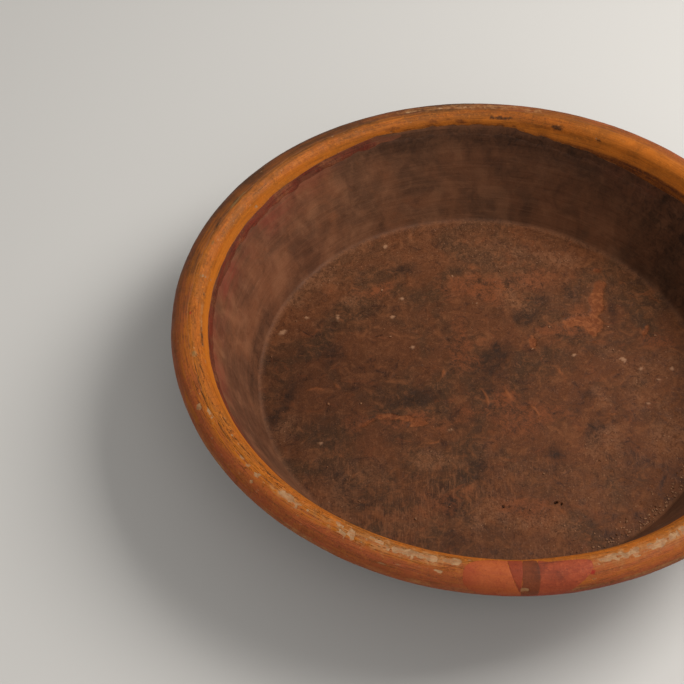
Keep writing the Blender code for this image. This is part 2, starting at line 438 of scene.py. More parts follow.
FLOOR_DUST = [
    (-93, 77, 27, 8, 43), (-74, 62, 14, 8, 40), (92, 2, 26, 18, 60), (100, -40, 24, 12, 60),
    (20, -98, 40, 9, 5), (60, -44, 13, 10, 100), (-28, -58, 18, 9, 10), (-6, -93, 12, 6, 60),
    (66, -14, 6, 10, 20), (20, 58, 8, 12, 20), (40, 96, 30, 8, -15), (-108, -32, 14, 6, 70),
]
FLOOR_SPECKS = [
    (80, 14, 2.6, 1.3, 130), (98, -1, 1.4, 1.0, 0), (89, 7, 1.3, 1.1, 0), (107, 7, 1.7, 1.1, 80),
    (53, 17, 1.5, 1.0, 20), (90, -18, 1.3, 1.0, 0), (-39, 23, 1.3, 1.1, 60),
    (-53, 103, 2.0, 1.3, 100), (-82, 45, 2.6, 1.2, 90), (-100, 45, 1.6, 1.2, 0),
    (-50, 46, 1.4, 1.0, 0), (-44, 60, 1.4, 1.0, 0), (-114, 34, 3.0, 1.5, 40),
    (-91, -45, 1.4, 1.0, 0), (-20, -36, 1.2, 0.9, 0),
]
# Lifted and curled skins of lacquer: as above, and how far the ends bend, in half widths
FLOOR_CURLS = [
    (-94, -7.5, 5.5, 1.0, 0, -1.6), (-82, -6, 3.2, 0.8, -52, 0.5), (1, -14, 7.0, 1.0, 102, 1.2),
    (13, -12, 7.5, 1.2, 112, -1.5), (28, -24, 7.5, 1.0, 112, 2.0), (-22, 4, 4.0, 0.8, 80, 1.0),
    (44, 4, 4.0, 0.8, 120, -1.0), (-30, -45, 4.5, 0.8, 10, 1.2),
]
WORM_HOLES = [
    (4.6, -86, 1.0, 0.65, 10), (8.0, -86.3, 0.75, 0.5, 100), (32.6, -83.4, 2.4, 0.42, 5),
    (35.4, -84.3, 0.8, 0.45, 60),
]
# Each kind: its places, how ragged its edge is, the size of the raggedness (mm) and its seed
FLOOR_MARKS = {
    "scar": (FLOOR_SCARS, 0.6, 6, 50),
    "hole": (WORM_HOLES, 0.1, 1.5, 51),
    "curl": (FLOOR_CURLS, 0.3, 3, 52),
    "speck": (FLOOR_SPECKS, 0.4, 2, 53),
    "dust": (FLOOR_DUST, 0.7, 18, 111),
    "stain": (FLOOR_STAINS_AND_SHADOWS, 0.6, 12, 112),
    "warm": (FLOOR_WARM, 0.7, 12, 115),
}

# On the rim: theta (degrees), the roll's angle, half length and half width (mm)
PAINT_CHIPS = [
    (-130.6, 92, 5.2, 1.5), (-132.0, 99, 1.6, 1.0), (-156.0, 64, 1.3, 1.2), (-153.5, 88, 3.0, 0.8),
    (-147.5, 114, 0.9, 0.6), (-142.4, 92, 2.2, 0.6), (-140.4, 87, 1.2, 0.6), (-137.8, 86, 1.9, 1.1),
    (-137.6, 58, 1.0, 0.6), (-126.4, 96, 1.1, 0.8), (-120.4, 110, 3.4, 1.0), (-117.6, 92, 4.2, 1.9),
    (-113.4, 106, 4.0, 0.9), (-111.0, 96, 4.0, 1.5), (-107.4, 98, 6.0, 1.7), (-103.9, 97, 3.2, 1.5),
    (-100.6, 103, 2.8, 1.5), (-101.0, 60, 5.4, 0.35), (-89.0, 22, 1.6, 1.0), (-74.4, 93, 6.0, 1.3),
    (-70.6, 90, 8.0, 1.9), (-65.4, 89, 9.0, 1.9), (-60.0, 92, 8.0, 1.8), (-54.0, 94, 6.0, 1.3),
    (92.5, 88, 2.6, 0.5), (97.4, 84, 1.8, 0.5), (86.0, 92, 2.4, 0.35), (104.0, 86, 3.0, 0.4),
    (35.0, 70, 4.0, 1.0), (8.0, 88, 3.0, 1.2), (-22.0, 60, 3.5, 1.3),
]
# Pale stretches on the rim: worn paint, with a painted sheen where the lamp's reflection lies along the
# crest.
RUBBED_AND_SHEEN_STRETCHES = [
    (-111, 98, 34, 3.4), (-130.6, 93, 8, 2.2), (-67, 91, 36, 3.3), (92, 82, 42, 2.0),
    (-178, 152, 22, 1.0), (-168, 108, 2.2, 1.0),
]
GREEN_SPOTS = [
    (172, 120, 1.0, 0.8), (150, 96, 9, 0.45), (163, 112, 4, 0.5), (160, 76, 1.4, 0.9),
    (-168, 106, 2.0, 0.9),
]
RED_DOTS = [(-178, 103, 0.8, 0.8), (-78.2, 62, 1.5, 1.2)]
PATCH_CHIP = (-89.0, 24, 1.1, 0.6)
PATCH_RUB = (-89.0, 24, 2.4, 1.3)
REAR_PATCH = (93.0, 54, 9.0, 3.2)
DARK_MARKS = [
    (71.5, 150, 3.2, 1.3), (61.5, 156, 1.6, 0.8), (176, 150, 1.2, 0.7), (-173, 152, 9, 0.5),
    (84, 139, 6, 1.2),
]

# The ochre's inner edge: theta (degrees), and its distance up from the top of the wall (mm)
OCHRE_INNER_EDGE = [
    (-180, 0), (-20, -0.5), (12, -2.5), (34, -4.5), (50, -5), (62, -2.5), (72, -0.5), (80, 3.0),
    (95, 4.2), (107, 4.4), (113, 5.4), (121, 3.2), (136, 1.8), (160, 0.8), (180, 0),
]


def blots(theta, s, places, roughness, seed):
    """How far inside the nearest of several oval marks on the rim each point is: 1 in its middle and 0
    at its edge."""
    ragged = roughness * fractal(line.place(theta, s, 0), 2.2 * MM, seed, 3)
    best = np.full(len(theta), -9.0)
    for degrees, angle, half_length, half_width in places:
        turn = (theta - math.radians(degrees) + math.pi) % TAU - math.pi
        along = turn * line.radius(line.at_roll(angle)) / (half_length * MM)
        across = (s - line.at_roll(angle)) / (half_width * MM)
        best = np.maximum(best, 1 - np.hypot(along, across))
    return best + ragged


def floor_mark(kind, points, low, high):
    """How strongly a kind of floor mark shows at each point, from 0 where it is low inside a mark to 1
    where it is high inside one."""
    places, roughness, size, seed = FLOOR_MARKS[kind]
    ragged = roughness * fractal(points, size * MM, seed, 4)
    best = np.full(len(points), -9.0)
    for x, y, half_length, half_width, degrees, *bend in places:
        a = math.radians(degrees)
        dx, dy = points[:, 0] - x * MM, points[:, 1] - y * MM
        along = (dx * math.cos(a) + dy * math.sin(a)) / (half_length * MM)
        across = (dy * math.cos(a) - dx * math.sin(a)) / (half_width * MM)
        if bend:
            across = across - bend[0] * np.clip(along, -2, 2) ** 2
        best = np.maximum(best, 1 - np.hypot(along, across))
    return smooth(low, high, best + ragged)


def between(s, start, end, blur):
    """1 along a stretch of the line, and 0 away from it."""
    return smooth(start - blur, start + blur, s) * (1 - smooth(end - blur, end + blur, s))


def near_angle(theta, degrees, width):
    """1 at an angle round the bowl, falling to 0 at a width from it, in degrees."""
    turn = (theta - math.radians(degrees) + math.pi) % TAU - math.pi
    return 1 - smooth(0.35, 1, np.abs(np.degrees(turn)) / width)


def curls(points, seed):
    """Short curved lines, as lifted skins of old lacquer leave: 1 on a line and 0 off it."""
    aside = [noise(points, 7 * MM, seed), noise(points, 7 * MM, seed + 1), np.zeros(len(points))]
    bent = points + 2.4 * MM * np.stack(aside, axis=1)
    thin = 1 - np.abs(noise(bent, 9 * MM, seed + 2)) / 0.07
    return np.clip(thin, 0, 1) * smooth(0.1, 0.5, noise(points, 11 * MM, seed + 3))


def relief(theta, s):
    """How far the worn surface stands over the true line at each point."""
    p = line.place(theta, s, 0)
    floor = 1 - smooth(CORNER - 2 * MM, CORNER, s)
    wall = between(s, CORNER, LIP, 3 * MM)
    rim = between(s, LIP, RUSSET_END, 3 * MM)
    outside = between(s, RUSSET_END, FOOT_TOP, 3 * MM)
    ridges = np.sin(TAU * s / (2.7 * MM) + 2 * noise(p, 60 * MM, 3)) * (0.6 + 0.4 * noise(p, 25 * MM, 4))
    crust = fractal(p, 6 * MM, 5, 4)
    height = floor * MM * (0.22 * noise(p, 45 * MM, 1) + 0.10 * crust + 0.10 * curls(p, 40) - 0.10)
    height += wall * MM * (0.18 * noise(p, 40 * MM, 2) + 0.045 * ridges + 0.05 * crust)
    height += rim * MM * (0.14 * noise(p, 22 * MM, 6) + 0.05 * fractal(p, 5 * MM, 7, 3) - 0.12)
    height += outside * MM * (0.15 * noise(p, 35 * MM, 8) + 0.05 * ridges + 0.04 * crust - 0.1)
    near_floor = s < CORNER
    scar = floor_mark("scar", p, -0.05, 0.35) * near_floor
    height -= floor * scar * MM * (0.30 + 0.12 * crust)
    height += floor * MM * (0.28 * floor_mark("curl", p, 0, 0.6) + 0.35 * floor_mark("speck", p, 0, 0.6))
    height -= floor * floor_mark("hole", p, 0, 0.5) * HOLE_DEPTH
    return height


def round_noise(theta, s, along, across, seed, octaves):
    """Noise that runs round the bowl: its features are along mm long and across mm wide."""
    k = across / along
    places = np.stack([np.cos(theta) * OUTER_RADIUS * k, np.sin(theta) * OUTER_RADIUS * k, s], axis=1)
    return fractal(places, across * MM, seed, octaves)


# Where each coat still lies -------------------------------


def lining_cover(theta, s):
    p = line.place(theta, s, 0)
    flaked = 0.55 + 0.55 * fractal(p, 7 * MM, 60, 4) + 0.25 * noise(p, 30 * MM, 61)
    flaked -= 1.6 * floor_mark("scar", p, -0.15, 0.25) * (s < CORNER)
    flaked -= 2.0 * floor_mark("hole", p, -0.2, 0.2) * (s < CORNER)
    wall = smooth(CORNER - 4 * MM, CORNER + 6 * MM, s)
    on_wall = 0.75 + 0.45 * round_noise(theta, s, 14, 5, 62, 4)
    left = flaked * (1 - wall) + on_wall * wall
    return np.minimum(left, (band_start(theta) + 0.3 * MM - s) / MM)


def band_edge(theta, seed, size, amount):
    """How far a painted line wanders, at each angle round the bowl."""
    p = np.stack([np.cos(theta), np.sin(theta), np.zeros(len(theta))], axis=1) * OUTER_RADIUS
    return amount * fractal(p, size, seed, 3)


def band_start(theta):
    """Where the maroon band's lower edge runs."""
    return ochre_start(theta) - 5.5 * MM + band_edge(theta, 70, 9 * MM, 0.9 * MM)


def maroon_cover(theta, s):
    gone = near_angle(theta, 88, 30) + 0.75 * near_angle(theta, 36, 46)
    worn = 0.75 + 0.5 * round_noise(theta, s, 16, 3, 71, 3) - 1.8 * gone
    inside = np.minimum((s - band_start(theta)) / (1.5 * MM), (ochre_start(theta) + 0.3 * MM - s) / MM)
    return np.minimum(worn, inside)


def chips(theta, s):
    """Above 0 where the rim's paint has chipped through to its ground."""
    named = blots(theta, s, PAINT_CHIPS, 0.95, 80)
    specks = round_noise(theta, s, 3.5, 1.6, 81, 2) + 0.25 * noise(line.place(theta, s, 0), 30 * MM, 82)
    return np.maximum(named, specks - 1.12)


def ochre_start(theta):
    """Where the ochre's inner edge runs, at each angle round the bowl."""
    degrees, offsets = zip(*OCHRE_INNER_EDGE)
    steps = MM * np.interp(np.degrees(theta), degrees, offsets)
    at_rear = near_angle(theta, 84, 30) * band_edge(theta, 73, 7 * MM, 1.0 * MM)
    return LIP + steps + band_edge(theta, 72, 12 * MM, 0.4 * MM) + at_rear


def ochre_end(theta):
    """Where the ochre's outer edge would run, but for a little overlap with the russet."""
    return OCHRE_END + band_edge(theta, 74, 14 * MM, 0.7 * MM)


def unchipped(inside, theta, s):
    """Cover from a length inside a coat's edges, without the chips."""
    return np.minimum(inside / (0.8 * MM), -chips(theta, s) / 0.4)


def ochre_cover(theta, s):
    return unchipped(np.minimum(s - ochre_start(theta), ochre_end(theta) + 0.5 * MM - s), theta, s)


def russet_cover(theta, s):
    return unchipped(s - ochre_end(theta) - 0.3 * MM, theta, s)


def dark_line_cover(theta, s):
    middle = line.at_roll(99) + band_edge(theta, 75, 16 * MM, 0.9 * MM)
    shown = np.maximum(near_angle(theta, -151, 19), 0.8 * near_angle(theta, 152, 12))
    width = 0.42 * MM * shown * (0.9 + 0.7 * band_edge(theta, 76, 5 * MM, 1.0))
    return (width - np.abs(s - middle)) / (0.4 * MM)


def ground_cover(theta, s):
    return np.minimum(s - ochre_start(theta) - 1 * MM, line.at_roll(-55) - s) / MM


def outside_cover(theta, s):
    p = line.place(theta, s, 0)
    end = FOOT_TOP - 1.5 * MM + band_edge(theta, 90, 10 * MM, 1.2 * MM)
    worn = 0.95 + 0.55 * fractal(p, 9 * MM, 91, 4) - 0.5 * smooth(0, 1, (s - FOOT_TOP) / (12 * MM) + 1)
    return np.minimum(worn, (end - s) / MM)


# The painted patch on the front rim: its outline, then the lines that part its four colours
PATCH_MIDDLE = -88.2
PATCH_HALF_LENGTH = 10.5
PATCH_SHOULDER = 3.5


def patch_outline(theta, s):
    """Above 0 inside the patch's outline, about 1 for each millimetre in from its edge."""
    degrees = np.degrees(theta) - PATCH_MIDDLE
    wander = band_edge(theta, 100, 6 * MM, 0.25)
    beyond = np.clip((np.abs(degrees) - PATCH_SHOULDER) / (PATCH_HALF_LENGTH - PATCH_SHOULDER), 0, None)
    right = smooth(0.5, 4, degrees)
    inner, outer = line.at_roll(133), line.at_roll(-14)
    inner = inner + right * (line.at_roll(116) - inner)
    outer = outer + right * smooth(4, 10, degrees) * (line.at_roll(30) - outer)
    tip = line.at_roll(62) + right * (line.at_roll(94) - line.at_roll(62))
    half = np.where(s < tip, tip - inner, outer - tip)
    share = np.abs(s - tip) / half
    reach = 1 - np.sqrt(np.clip(beyond, 0, 1.4) ** 2.2 + share**2.6) + 0.02 * wander
    return reach * half / MM


def parted(theta, s, left, right, seed):
    """Above 0 between two lines across the rim, each a function of the roll's angle that gives degrees."""
    a = line.roll_angle(s)
    degrees = np.degrees(theta)
    inside = np.minimum(degrees - left(a), right(a) - degrees)
    wander = 0.12 * noise(line.place(theta, s, 0), 4 * MM, seed)
    return (inside + wander) * math.radians(1) * OUTER_RADIUS / MM


def left_of_patch(a):
    return PATCH_MIDDLE - 30


def stroke_start(a):
    return -91.5 + 1.75 * np.clip((118 - a) / 105, 0, 1.1) ** 1.5


def bar_start(a):
    return -89.15 - 0.35 * np.clip((95 - a) / 70, 0, 1.2) + 0.15 * np.clip((a - 100) / 30, 0, 1)


def lobe_start(a):
    return -86.9 + 0.45 * np.sin(np.radians(a))


def right_of_patch(a):
    return PATCH_MIDDLE + 30


# Materials ------------------------------------------------


def linear(tint):
    """A colour given as it looks on a screen, from 0 to 255, as the linear values that a shader takes."""
    return tuple((c / 255) ** 2.2 for c in tint) + (1.0,)


class Shader:
    """Builds a material's nodes. Each method adds nodes and returns the socket that they end in. Where a
    value is asked for, a name stands for the mask of that name, and a colour is a socket or is given as
    it looks on a screen."""

    def __init__(self, name):
        self.material = bpy.data.materials.new(name)
        self.material.use_nodes = True
        self.tree = self.material.node_tree
        self.surface = self.tree.nodes["Principled BSDF"]

    def add(self, kind, values, **settings):
        """A node with settings, and with each input set to a value or linked to a socket."""
        node = self.tree.nodes.new(kind)
        for name, setting in settings.items():
            setattr(node, name, setting)
        for key, value in values.items():
            if isinstance(value, str):
                value = self.attribute(value)
            if isinstance(value, bpy.types.NodeSocket):
                self.tree.links.new(value, node.inputs[key])
            else:
                node.inputs[key].default_value = value
        return node

    def attribute(self, name, output="Fac"):
        return self.add("ShaderNodeAttribute", {}, attribute_name=name).outputs[output]

    def in_sizes(self, places, sizes):
        values = {0: places, 1: tuple(1 / (size * MM) for size in sizes)}
        return self.add("ShaderNodeVectorMath", values, operation="MULTIPLY").outputs[0]

    def stretched(self, along, across):
        """Coordinates that run round the bowl, for patterns with features of these sizes (mm)."""
        return self.in_sizes(self.attribute("turned", "Vector"), (along, along, across))

    def flat(self, x, y=None, z=None):
        """The bowl's own coordinates, for patterns with features of one size or of three (mm)."""
        return self.in_sizes(self.add("ShaderNodeTexCoord", {}).outputs["Object"], (x, y or x, z or x))

    def noise(self, places, detail=4.0, roughness=0.55, distortion=0.0):
        values = {"Vector": places, "Scale": 1.0, "Detail": detail, "Roughness": roughness}
        values["Distortion"] = distortion
        return self.add("ShaderNodeTexNoise", values, noise_dimensions="3D").outputs["Fac"]

    def spots(self, places, size, rarity):
        """Small spots, 1 at their middles. The nearer rarity is to 1, the fewer there are."""
        values = {"Vector": places, "Scale": 1.0}
        cells = self.add("ShaderNodeTexVoronoi", values, voronoi_dimensions="3D").outputs
        luck = self.add("ShaderNodeSeparateColor", {0: cells["Color"]}).outputs[0]
        return self.times(self.ramp(cells["Distance"], size, 0.12), self.ramp(luck, rarity, rarity + 0.06))

    def ramp(self, value, low, high, to_low=0.0, to_high=1.0):
        """Takes a value from low..high to to_low..to_high along an S."""
        values = {0: value, 1: low, 2: high, 3: to_low, 4: to_high}
        return self.add("ShaderNodeMapRange", values, interpolation_type="SMOOTHSTEP").outputs[0]

    def maths(self, operation, *values):
        """The values joined by an operation, from the first to the last."""
        joined = values[0]
        for value in values[1:]:
            joined = self.add("ShaderNodeMath", {0: joined, 1: value}, operation=operation).outputs[0]
        return joined

    def times(self, *values):
        return self.maths("MULTIPLY", *values)

    def plus(self, *values):
        return self.maths("ADD", *values)

    def mix(self, share, *colours):
        a, b = (linear(c) if isinstance(c, tuple) else c for c in colours)
        settings = {"data_type": "RGBA", "clamp_factor": True}
        return self.add("ShaderNodeMix", {0: share, 6: a, 7: b}, **settings).outputs[2]

    def lay(self, base, layers, *weights):
        """Layers laid over a base in turn. Each is a colour, its weight, a value, and the value's limits as
        ramp takes them. The weights that follow are for all the layers."""
        for tint, weight, value, *limits in layers:
            base = self.mix(self.times(self.ramp(value, *limits), weight, *weights), base, tint)
        return base

    def scaled(self, base, factor):
        """A colour made brighter or darker."""
        return self.add("ShaderNodeVectorMath", {0: base, 3: factor}, operation="SCALE").outputs[0]

    def finish(self, base, roughness, height, distance, specular):
        """Links the results to the surface. height goes from 0 to 1 over a distance."""
        bump = self.add("ShaderNodeBump", {"Strength": 1.0, "Distance": distance, "Height": height})
        self.tree.links.new(base, self.surface.inputs["Base Color"])
        self.tree.links.new(roughness, self.surface.inputs["Roughness"])
        self.tree.links.new(bump.outputs["Normal"], self.surface.inputs["Normal"])
        self.surface.inputs["Specular IOR Level"].default_value = specular
        return self.material


def old_wood(name, lining):
    """Dark old wood, bare or under the worn lacquer: 0 for bare, 1 for lacquered."""
    k = Shader(name)
    bare = 1 - lining
    large = k.noise(k.flat(34), 3, 0.5, 0.8)
    medium = k.noise(k.flat(9), 5, 0.62, 1.2)
    small = k.noise(k.flat(3.6, 4.4, 4), 5, 0.65, 1.0)
    warm = k.noise(k.flat(13, 9, 9), 5, 0.65, 1.5)
    grain = k.noise(k.flat(0.8, 7, 5), 4, 0.6, 0.6)
    fine = k.noise(k.flat(0.9), 3, 0.65)
    cloud = k.noise(k.flat(15, 15, 19), 4, 0.5, 0.4)
    turned = k.noise(k.stretched(38, 2.2), 4, 0.6, 0.4)
    on_wall = k.attribute("wall")
    on_floor = k.maths("SUBTRACT", 1.0, on_wall)
    crusty = k.plus(k.times(on_floor, 0.65), 0.35)
    grained = k.times("grain", 0.7)

    # The first of each pair is the floor's colour, and the second the wall's
    brown = k.mix(on_wall, (85, 49, 27), (102, 65, 44))
    light = k.mix(on_wall, (110, 67, 41), (126, 85, 60))
    dark = k.mix(on_wall, (50, 28, 16), (54, 35, 24))
    olive = k.mix(on_wall, (66, 43, 26), (82, 55, 39))
    base = k.mix(k.ramp(large, 0.36, 0.64), olive, brown)
    crust = [
        (light, 0.85, medium, 0.48, 0.74),
        ((112, 61, 34), 0.45, warm, 0.54, 0.72),
        (dark, 0.8, medium, 0.46, 0.28),
        ((119, 75, 48), 0.5, small, 0.52, 0.74),
        (dark, 0.75, small, 0.44, 0.26),
    ]
    base = k.lay(base, crust, crusty)
    base = k.lay(base, [((120, 75, 48), 1.0, grain, 0.5, 0.72), (dark, 1.0, grain, 0.44, 0.28)], grained)
    clouds_and_turning = [
        (light, 0.4, cloud, 0.50, 0.68),
        (dark, 0.42, cloud, 0.46, 0.30),
        (light, 0.22, turned, 0.48, 0.74),
        (dark, 0.22, turned, 0.47, 0.26),
    ]
    base = k.lay(base, clouds_and_turning, on_wall)
    pores = [((134, 91, 63), 0.42, fine, 0.56, 0.76), ((34, 21, 14), 0.6, fine, 0.42, 0.26)]
    base = k.lay(base, pores, crusty)

    scar = k.mix(k.ramp(small, 0.4, 0.65), (98, 53, 29), (127, 74, 43))
    wear_and_painted_light = [
        ((116, 63, 36), "warm", k.plus(small, medium, fine), 1.2, 1.8, 0.0, 0.7),
        ((108, 46, 36), "red", turned, 0.35, 0.6, 0.45, 0.9),
        # Dark brown for stains, and for painted shade on the right and right rear wall.
        ((42, 28, 19), "grime_and_shade", small, 0.3, 0.62, 0.95, 0.5),
        (scar, "scar", fine, 0.3, 0.5, 0.6, 0.95),
    ]
    base = k.lay(base, wear_and_painted_light)
    base = k.mix(k.times("curl", 0.7), base, (132, 76, 43))
    base = k.lay(base, [((122, 81, 56), "dust", k.plus(small, fine), 0.8, 1.2, 0.1, 0.65)])
    base = k.mix(k.times("speck", 0.8), base, (152, 112, 84))
    grit = k.times(k.spots(k.flat(2.4), 0.26, 0.62), "grit")
    base = k.mix(k.times(grit, 0.6), base, (150, 108, 80))
    # Painted shade: the worm holes are darkened nearly to black, over their real depth.
    base = k.mix(k.ramp("hole", 0.1, 0.8, 0.0, 0.9), base, (24, 15, 10))
    # The floor and the wall are made lighter and darker here by painted light and shade.
    base = k.scaled(base, k.plus(k.times("painted_light", 0.6), 1.0 + 0.06 * bare))

    roughness = k.plus(
        k.ramp(medium, 0.3, 0.7, 0.50, 0.68), k.times(fine, 0.12), k.times("dust", 0.12), 0.08 * bare
    )
    crust_height = k.times(k.plus(k.times(fine, 0.3), k.times(k.plus(medium, small), 0.45)), crusty)
    height = k.plus(
        crust_height, k.times(grain, grained, 0.25), k.times(turned, on_wall, 0.5), k.times(grit, 0.8)
    )
    return k.finish(base, roughness, height, 0.4 * MM, 0.16)


def rim_paint(
    name, main, light, dark, dirt_and_shade, blotch, gloss=0.5, streaks=1.0, worn_edge=0.35, edge=(156, 116, 80)
):
    """Old paint: brushed streaks round the bowl, blotches, pale worn places, dirty low spots, painted light
    and shade.
    """
    k = Shader(name)
    streak = k.noise(k.stretched(24, 0.9), 5, 0.62, 0.3)
    thin = k.noise(k.stretched(13, 0.42), 3, 0.6, 0.6)
    broad = k.noise(k.stretched(30, 4.5), 4, 0.6, 0.8)
    patchy = k.noise(k.flat(6), 5, 0.62, 1.0)
    small = k.noise(k.flat(2.2), 4, 0.65, 0.8)
    fine = k.noise(k.flat(0.7), 3, 0.65)
    brushed = [
        (blotch, 0.85, broad, 0.40, 0.62),
        (light, 0.6 * streaks, streak, 0.50, 0.70),
        (dark, 0.75 * streaks, streak, 0.47, 0.30),
        (dark, 0.55, patchy, 0.52, 0.72),
        (light, 0.72, small, 0.52, 0.68),
        (dark, 0.55, small, 0.45, 0.28),
        (dirt_and_shade, 0.8 * streaks, thin, 0.40, 0.26),
        (dirt_and_shade, 0.75, fine, 0.42, 0.28),
        ((172, 120, 70), 0.3, fine, 0.60, 0.76),
    ]
    base = k.lay(main, brushed)
    off_line = k.maths("SUBTRACT", k.noise(k.stretched(17, 1.5), 3, 0.5, 0.8), 0.5)
    crack = k.times(k.ramp(k.maths("ABSOLUTE", off_line, 0.0), 0.020, 0.005), "cracked")
    base = k.mix(k.times(crack, 0.85), base, (54, 34, 20))
    fleck = k.times(k.spots(k.stretched(4.5, 1.8), 0.24, 0.72), "cracked")
    base = k.mix(k.times(fleck, 0.7), base, (176, 132, 94))
    mottled = k.plus(k.times(streak, 0.45), k.times(small, 0.35), k.times(fine, 0.2))
    shades = [
        # This layer paints a highlight along the ochre's inner edge.
        ((178, 100, 30), "inner", streak, 0.3, 0.5, 0.35, 0.85),
        # This layer paints a highlight on the ochre at the right rear.
        ((204, 114, 36), "bright", streak, 0.3, 0.5, 0.25, 0.5),
        ((163, 92, 24), "ochre", streak, 0.36, 0.58, 0.15, 0.95),
        ((100, 64, 33), "olive", streak, 0.62, 0.40, 0.4, 0.92),
    ]
    base = k.lay(base, shades)
    base = k.scaled(base, k.plus(k.times("olive", -0.2), 1.0))
    # A pale mix for worn paint and for a painted sheen.
    rubbed_and_sheen = k.mix(k.ramp(patchy, 0.4, 0.6), (144, 96, 55), (164, 118, 76))
    wear_and_painted_light = [
        # The soiling colour here is also laid as painted shade, where the mask paints shade.
        (dirt_and_shade, "grime_and_shade", mottled, 0.38, 0.6, 0.95, 0.4),
        (rubbed_and_sheen, "rub_and_sheen", mottled, 0.40, 0.58, 0.1, 0.9),
        ((132, 50, 32), "shade", small, 0.3, 0.6, 0.3, 0.8),
        # Dark brown: painted shade on the rim's inner face at the right rear and the rear, with some
        # soiling.
        ((68, 33, 18), "dark", mottled, 0.36, 0.62, 0.95, 0.55),
        ((110, 88, 52), "green", fine, 0.3, 0.6, 0.4, 0.8),
    ]
    base = k.lay(base, wear_and_painted_light)
    base = k.mix(k.times("reddot", 0.85), base, (138, 30, 22))
    base = k.lay(base, [((50, 34, 22), "mark", fine, 0.3, 0.6, 0.6, 0.95)])
    base = k.mix(k.ramp("edge", 0.6, 0.0, 0.0, worn_edge), base, edge)
    satin = k.ramp(patchy, 0.3, 0.7, gloss - 0.06, gloss + 0.08)
    roughness = k.plus(k.times(fine, 0.14), satin, k.times("rub_and_sheen", 0.12))
    height = k.plus(
        k.times(streak, 0.4), k.times(fine, 0.3), k.times(patchy, 0.5), k.times(thin, 0.35 * streaks),
        k.times(small, 0.5), k.times(crack, -0.7),
    )
    return k.finish(base, roughness, height, 0.26 * MM, 0.17)


def chalk_ground(name):
    k = Shader(name)
    patchy = k.noise(k.flat(3.5), 4, 0.6)
    streak = k.noise(k.stretched(9, 0.8), 3, 0.6)
    fine = k.noise(k.flat(0.6), 3, 0.6)
    base = k.mix(k.ramp(patchy, 0.35, 0.65), (134, 95, 60), (164, 125, 88))
    stains = [((156, 92, 46), 0.75, streak, 0.48, 0.66), ((92, 66, 46), 0.5, fine, 0.42, 0.28)]
    height = k.plus(k.times(fine, 0.5), patchy)
    return k.finish(k.lay(base, stains), k.ramp(patchy, 0.3, 0.7, 0.6, 0.75), height, 0.25 * MM, 0.35)


def crumb_matter(name):
    k = Shader(name)
    tints = k.noise(k.flat(5), 3)
    fine = k.noise(k.flat(0.4), 3)
    base = k.mix(k.ramp(tints, 0.4, 0.6), (100, 62, 38), (142, 102, 74))
    base = k.lay(base, [((74, 46, 30), 0.6, fine, 0.5, 0.3)])
    return k.finish(base, k.ramp(fine, 0.3, 0.7, 0.6, 0.8), fine, 0.15 * MM, 0.2)


MATERIALS = {
    "crumb": crumb_matter("crumb_matter"),
    "wood": old_wood("old_turned_wood", 0),
    "lining": old_wood("worn_brown_lacquer", 1),
    "ground": chalk_ground("chalk_ground"),
}

# Each paint's main, light, dark, dirty (also painted shade) and blotch colours
PAINTS = {
    "ochre": [(161, 86, 25), (184, 105, 34), (114, 67, 25), (68, 43, 20), (136, 80, 30)],
    "russet": [(140, 71, 36), (154, 88, 40), (110, 65, 32), (76, 48, 29), (150, 73, 43)],
    "dark_line": [(48, 31, 19), (60, 40, 25), (34, 22, 14), (26, 18, 12), (60, 40, 25)],
    "maroon": [(98, 42, 29), (118, 50, 35), (72, 38, 26), (50, 30, 20), (104, 56, 38)],
    "outside_maroon": [(84, 38, 27), (100, 50, 34), (56, 29, 21), (40, 25, 18), (70, 36, 25)],
    "salmon": [(152, 74, 40), (162, 82, 44), (134, 60, 38), (104, 54, 36), (160, 80, 40)],
    "deep_red": [(131, 57, 34), (139, 64, 37), (112, 50, 33), (92, 46, 31), (123, 55, 35)],
    "bar_brown": [(108, 55, 32), (119, 62, 36), (93, 48, 30), (76, 42, 27), (112, 56, 33)],
    "pink_red": [(148, 68, 42), (160, 78, 48), (118, 54, 38), (96, 48, 34), (134, 60, 38)],
    "rear_brown": [(94, 56, 32), (110, 66, 38), (72, 44, 27), (54, 36, 24), (84, 52, 32)],
}
NEWER = {"gloss": 0.56, "streaks": 0.35, "worn_edge": 0.0}
PAINT_WEAR = {
    "dark_line": {"worn_edge": 0.0},
    "maroon": {"worn_edge": 0.9, "edge": (96, 58, 40)},
    "salmon": NEWER,
    "deep_red": NEWER,
    "bar_brown": NEWER,
    "pink_red": NEWER,
}
for paint, colours in PAINTS.items():
    MATERIALS[paint] = rim_paint(f"{paint}_paint", *colours, **PAINT_WEAR.get(paint, {}))


# Masks that the materials read ----------------------------


def clipped(masks):
    return {name: np.clip(values, 0, 1) for name, values in masks.items()}


